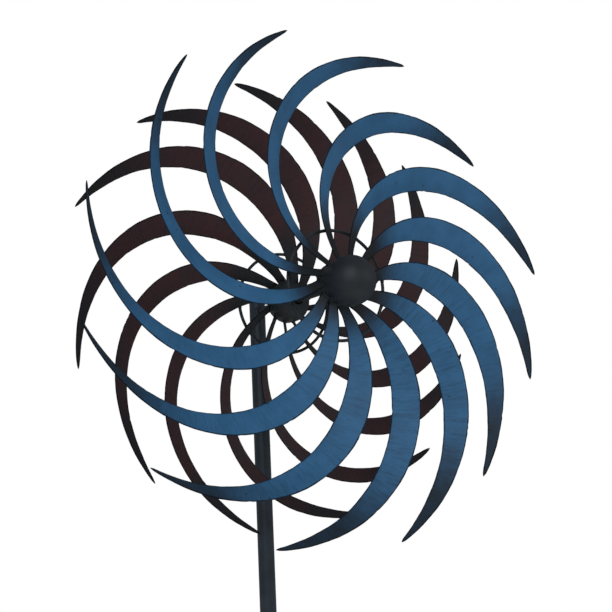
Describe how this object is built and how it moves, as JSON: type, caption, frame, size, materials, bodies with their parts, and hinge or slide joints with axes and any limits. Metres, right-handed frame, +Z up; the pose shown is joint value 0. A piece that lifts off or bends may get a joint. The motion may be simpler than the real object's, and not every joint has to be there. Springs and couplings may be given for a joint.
{
  "type": "kinetic wind sculpture",
  "caption": "Garden wind sculpture: two rotors of curved sheet-metal blades that turn opposite ways on one axle, on a head that swivels on a sectional pole with a ground fork.",
  "frame": {"origin": "on the pole's centre line at ground level, where the centre spike meets the underside of the foot bar", "axes": "+Z up along the pole; the rotors face -Y and their axle runs along Y; +X is to the right as seen from the front"},
  "size_m": [0.6051, 0.2809, 2.1288],
  "materials": {
    "blue_blades": "satin blue fading to black at root and tip",
    "burgundy_blades": "satin dark burgundy with black edges",
    "pole_paint": "satin black powder coat",
    "hub_paint": "satin black powder coat",
    "black_plastic": "matt moulded",
    "nylon": "natural nylon",
    "bearing_steel": "polished",
    "zinc_steel": "zinc plated"
  },
  "bodies": {
    "stand": {"ground_spike": "pole_paint", "foot_bar": "pole_paint", "left_prong": "pole_paint", "right_prong": "pole_paint", "lower_pole": "pole_paint", "middle_pole": "pole_paint", "upper_pole": "pole_paint", "pole_screws": "zinc_steel", "upper_swivel_bush": "nylon", "lower_swivel_bush": "nylon", "thrust_plug": "zinc_steel", "thrust_ball": "bearing_steel"},
    "head": {"head_post": "pole_paint", "post_plug": "zinc_steel", "post_cap": "black_plastic", "swivel_spindle": "zinc_steel", "axle": "zinc_steel", "rear_spacer": "hub_paint", "middle_spacer": "hub_paint", "bearing_spacers": "zinc_steel", "nut_washer": "zinc_steel", "lock_nut": "zinc_steel", "rear_bearing_inners": "bearing_steel", "front_bearing_inners": "bearing_steel"},
    "rear_rotor": {"rear_hub": "hub_paint", "rear_hub_front_shell": "hub_paint", "rear_hub_back_shell": "hub_paint", "rear_bearing_outers": "bearing_steel", "rear_bearing_balls": "bearing_steel", "rear_ring": "hub_paint", "rear_blade_01": "burgundy_blades", "rear_blade_02": "burgundy_blades", "rear_blade_03": "burgundy_blades", "rear_blade_04": "burgundy_blades", "rear_blade_05": "burgundy_blades", "rear_blade_06": "burgundy_blades", "rear_blade_07": "burgundy_blades", "rear_blade_08": "burgundy_blades", "rear_blade_09": "burgundy_blades", "rear_blade_10": "burgundy_blades", "rear_blade_11": "burgundy_blades", "rear_blade_12": "burgundy_blades"},
    "front_rotor": {"front_hub": "hub_paint", "front_hub_cap": "hub_paint", "front_bearing_outers": "bearing_steel", "front_bearing_balls": "bearing_steel", "front_ring": "hub_paint", "front_blade_01": "blue_blades", "front_blade_02": "blue_blades", "front_blade_03": "blue_blades", "front_blade_04": "blue_blades", "front_blade_05": "blue_blades", "front_blade_06": "blue_blades", "front_blade_07": "blue_blades", "front_blade_08": "blue_blades", "front_blade_09": "blue_blades", "front_blade_10": "blue_blades", "front_blade_11": "blue_blades", "front_blade_12": "blue_blades"}
  },
  "joints": [
    {"name": "head_yaw", "type": "hinge", "parent": "stand", "child": "head", "pos_m": [0, 0, 1.52], "axis": [0, 0, 1], "continuous": true},
    {"name": "rear_spin", "type": "hinge", "parent": "head", "child": "rear_rotor", "pos_m": [0, -0.09, 1.57], "axis": [0, 1, 0], "continuous": true},
    {"name": "front_spin", "type": "hinge", "parent": "head", "child": "front_rotor", "pos_m": [0, -0.22, 1.57], "axis": [0, 1, 0], "continuous": true}
  ]
}
